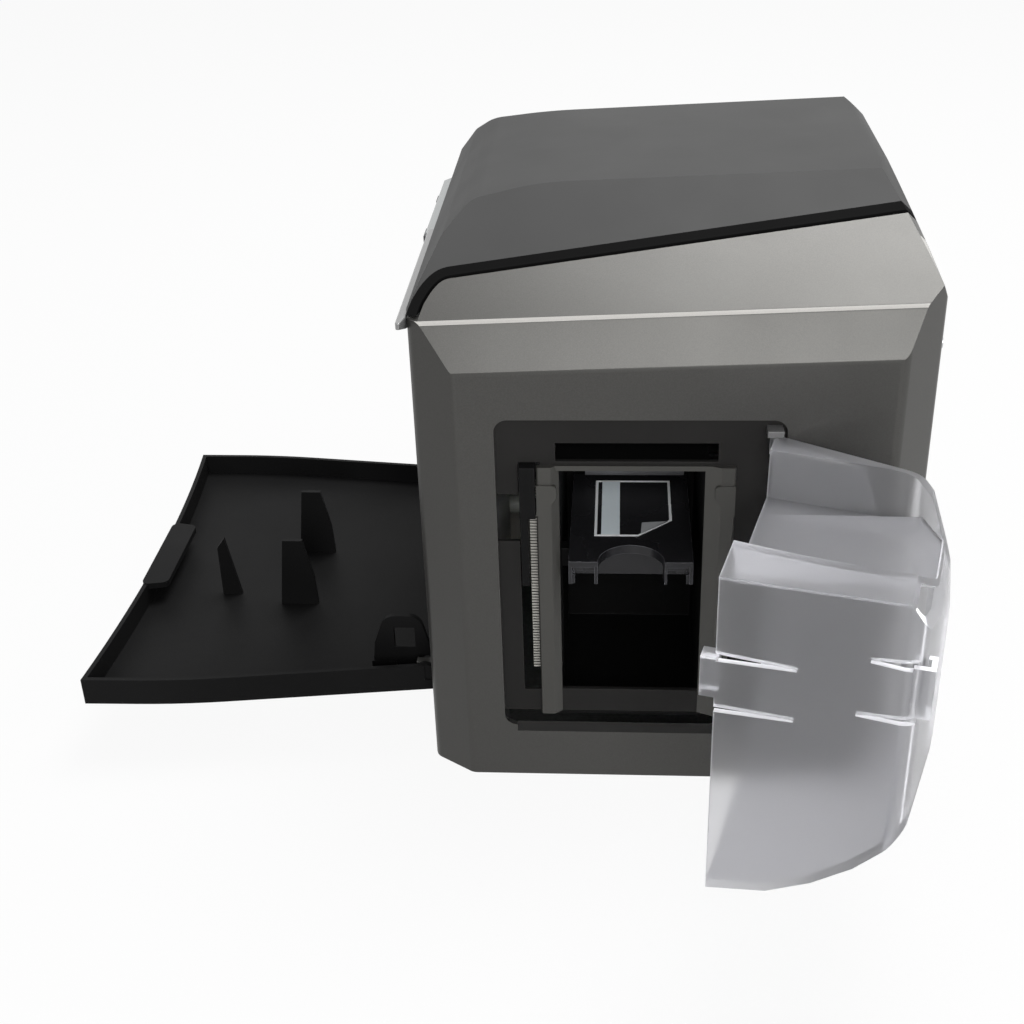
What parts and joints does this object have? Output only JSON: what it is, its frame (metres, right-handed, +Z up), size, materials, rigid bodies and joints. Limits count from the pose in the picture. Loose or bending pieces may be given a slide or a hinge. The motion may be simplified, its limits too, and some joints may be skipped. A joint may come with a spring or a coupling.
{
  "type": "id card printer",
  "caption": "Desktop id card printer with a faceted casing, hinged top cover, drop-down front door, clear swing-out card hopper door and a lifting card tray.",
  "frame": {"origin": "centre of the base pan's underside", "axes": "+X to the rear, the front door is on -X; -Y is the card hopper side; +Z up"},
  "size_m": [0.4203, 0.429, 0.2934],
  "materials": {
    "sheet_steel": "zinc plated",
    "casing_plastic": "warm metallic grey",
    "steel": "plain",
    "foot_rubber": "black",
    "bezel_plastic": "grey",
    "well_plastic": "black",
    "post_plastic": "light grey satin",
    "rack_plastic": "white",
    "silver_plastic": "silver",
    "display_pane": "clear",
    "light_pane": "white",
    "head_metal": "machined",
    "belt_rubber": "black",
    "board_green": "green board",
    "socket_black": "black",
    "fan_plastic": "black",
    "cover_plastic": "dark grey satin",
    "seam_rubber": "black",
    "black_plastic": "black, finely textured",
    "clear_plastic": "clear",
    "tray_plastic": "black satin",
    "label_print": "white print",
    "button_rubber": "dark grey",
    "cartridge_plastic": "off-white",
    "ribbon_film": "dark wound film",
    "clear_film": "pale wound film",
    "roller_rubber": "dark grey on a steel shaft"
  },
  "bodies": {
    "casing": {"base_pan": "sheet_steel", "hopper_side_panel": "casing_plastic", "far_side_panel": "casing_plastic", "front_frame": "casing_plastic", "front_door_pins": "steel", "rear_panel": "casing_plastic", "rubber_feet": "foot_rubber", "cover_hinge_brackets": "steel", "hopper_bezel": "bezel_plastic", "hopper_well": "well_plastic", "guide_posts": "post_plastic", "lift_rack": "rack_plastic", "hopper_hinge_brackets": "steel", "control_strip": "silver_plastic", "control_panel": "bezel_plastic", "display_window": "display_pane", "status_light": "light_pane", "front_chassis_plate": "sheet_steel", "rear_chassis_plate": "sheet_steel", "card_guide_rails": "well_plastic", "print_head": "head_metal", "motor_plate": "sheet_steel", "drive_motor": "steel", "drive_belt": "belt_rubber", "main_board": "board_green", "board_standoffs": "steel", "power_supply": "sheet_steel", "power_inlet": "socket_black", "data_sockets": "steel", "switch_frame": "socket_black", "fan_frame": "fan_plastic", "case_screws": "steel"},
    "top_cover": {"top_cover": "cover_plastic", "cover_gasket": "seam_rubber"},
    "front_door": {"front_door": "black_plastic"},
    "hopper_door": {"hopper_door": "clear_plastic"},
    "card_lift": {"input_tray": "tray_plastic", "lift_carriage": "black_plastic", "tray_label": "label_print"},
    "damper_pinion": {"damper_pinion": "rack_plastic"},
    "menu_button": {"menu_button": "button_rubber"},
    "power_button": {"power_button": "button_rubber"},
    "power_switch": {"power_switch": "button_rubber"},
    "fan_rotor": {"fan_rotor": "fan_plastic"},
    "pick_roller": {"pick_roller": "roller_rubber"},
    "feed_roller": {"feed_roller": "roller_rubber"},
    "feed_pinch_roller": {"feed_pinch_roller": "roller_rubber"},
    "platen_roller": {"platen_roller": "roller_rubber"},
    "transfer_roller": {"transfer_roller": "roller_rubber"},
    "transfer_pinch_roller": {"transfer_pinch_roller": "roller_rubber"},
    "exit_roller": {"exit_roller": "roller_rubber"},
    "drive_pulley": {"drive_pulley": "head_metal"},
    "ribbon_cartridge": {"ribbon_cartridge": "cartridge_plastic"},
    "ribbon_supply_spool": {"ribbon_supply_spool": "ribbon_film"},
    "ribbon_take_up_spool": {"ribbon_take_up_spool": "ribbon_film"},
    "film_cartridge": {"film_cartridge": "cartridge_plastic"},
    "film_supply_spool": {"film_supply_spool": "clear_film"},
    "film_take_up_spool": {"film_take_up_spool": "clear_film"}
  },
  "joints": [
    {"name": "top_cover_hinge", "type": "hinge", "parent": "casing", "child": "top_cover", "pos_m": [0.098, 0, 0.264], "axis": [0, 1, 0], "range_deg": [0, 65]},
    {"name": "front_door_hinge", "type": "hinge", "parent": "casing", "child": "front_door", "pos_m": [-0.124, 0, 0.0355], "axis": [0, 1, 0], "range_deg": [0, 90]},
    {"name": "hopper_door_hinge", "type": "hinge", "parent": "casing", "child": "hopper_door", "pos_m": [0.045, -0.1452, 0], "axis": [0, 0, 1], "range_deg": [-75, 0]},
    {"name": "lift_slide", "type": "slide", "parent": "casing", "child": "card_lift", "axis": [0, 0, 1], "range_m": [-0.058, 0], "stiffness_N_per_m": 25, "springref_m": 0.03},
    {"name": "damper_pinion_spin", "type": "hinge", "parent": "card_lift", "child": "damper_pinion", "pos_m": [-0.0635, -0.1407, 0.162], "axis": [1, 0, 0], "range_deg": [0, 835]},
    {"name": "menu_button_press", "type": "slide", "parent": "casing", "child": "menu_button", "axis": [1, 0, 0], "range_m": [0, 0.001], "stiffness_N_per_m": 400},
    {"name": "power_button_press", "type": "slide", "parent": "casing", "child": "power_button", "axis": [1, 0, 0], "range_m": [0, 0.001], "stiffness_N_per_m": 400},
    {"name": "power_switch_rock", "type": "hinge", "parent": "casing", "child": "power_switch", "pos_m": [0.112, 0.101, 0.029], "axis": [0, 1, 0], "range_deg": [-8, 8]},
    {"name": "fan_spin", "type": "hinge", "parent": "casing", "child": "fan_rotor", "pos_m": [0.105, -0.02, 0.15], "axis": [1, 0, 0], "continuous": true},
    {"name": "pick_roller_spin", "type": "hinge", "parent": "casing", "child": "pick_roller", "pos_m": [0, -0.061, 0.137], "axis": [1, 0, 0], "continuous": true},
    {"name": "feed_roller_spin", "type": "hinge", "parent": "casing", "child": "feed_roller", "pos_m": [0, -0.036, 0.1196], "axis": [1, 0, 0], "continuous": true},
    {"name": "feed_pinch_roller_spin", "type": "hinge", "parent": "casing", "child": "feed_pinch_roller", "pos_m": [0, -0.036, 0.1354], "axis": [1, 0, 0], "continuous": true},
    {"name": "platen_roller_spin", "type": "hinge", "parent": "casing", "child": "platen_roller", "pos_m": [0, 0.01, 0.1175], "axis": [1, 0, 0], "continuous": true},
    {"name": "transfer_roller_spin", "type": "hinge", "parent": "casing", "child": "transfer_roller", "pos_m": [0, 0.066, 0.115], "axis": [1, 0, 0], "continuous": true},
    {"name": "transfer_pinch_roller_spin", "type": "hinge", "parent": "casing", "child": "transfer_pinch_roller", "pos_m": [0, 0.066, 0.1364], "axis": [1, 0, 0], "continuous": true},
    {"name": "exit_roller_spin", "type": "hinge", "parent": "casing", "child": "exit_roller", "pos_m": [0, -0.128, 0.1874], "axis": [1, 0, 0], "continuous": true},
    {"name": "drive_pulley_spin", "type": "hinge", "parent": "casing", "child": "drive_pulley", "pos_m": [0.075, 0.01, 0.075], "axis": [1, 0, 0], "continuous": true},
    {"name": "ribbon_cartridge_slide", "type": "slide", "parent": "casing", "child": "ribbon_cartridge", "axis": [1, 0, 0], "range_m": [-0.17, 0]},
    {"name": "film_cartridge_slide", "type": "slide", "parent": "casing", "child": "film_cartridge", "axis": [1, 0, 0], "range_m": [-0.17, 0]},
    {"name": "ribbon_supply_spool_spin", "type": "hinge", "parent": "ribbon_cartridge", "child": "ribbon_supply_spool", "pos_m": [-0.017, -0.012, 0.152], "axis": [1, 0, 0], "continuous": true},
    {"name": "ribbon_take_up_spool_spin", "type": "hinge", "parent": "ribbon_cartridge", "child": "ribbon_take_up_spool", "pos_m": [-0.017, 0.032, 0.152], "axis": [1, 0, 0], "continuous": true},
    {"name": "film_supply_spool_spin", "type": "hinge", "parent": "film_cartridge", "child": "film_supply_spool", "pos_m": [-0.017, -0.03, 0.093], "axis": [1, 0, 0], "continuous": true},
    {"name": "film_take_up_spool_spin", "type": "hinge", "parent": "film_cartridge", "child": "film_take_up_spool", "pos_m": [-0.017, 0.03, 0.093], "axis": [1, 0, 0], "continuous": true}
  ],
  "couplings": [
    {"joint": "damper_pinion_spin", "follows": "lift_slide", "rad_per_m": -250},
    {"joint": "feed_roller_spin", "follows": "transfer_roller_spin", "ratio": 1},
    {"joint": "platen_roller_spin", "follows": "transfer_roller_spin", "ratio": 1.0145},
    {"joint": "drive_pulley_spin", "follows": "transfer_roller_spin", "ratio": 1}
  ]
}
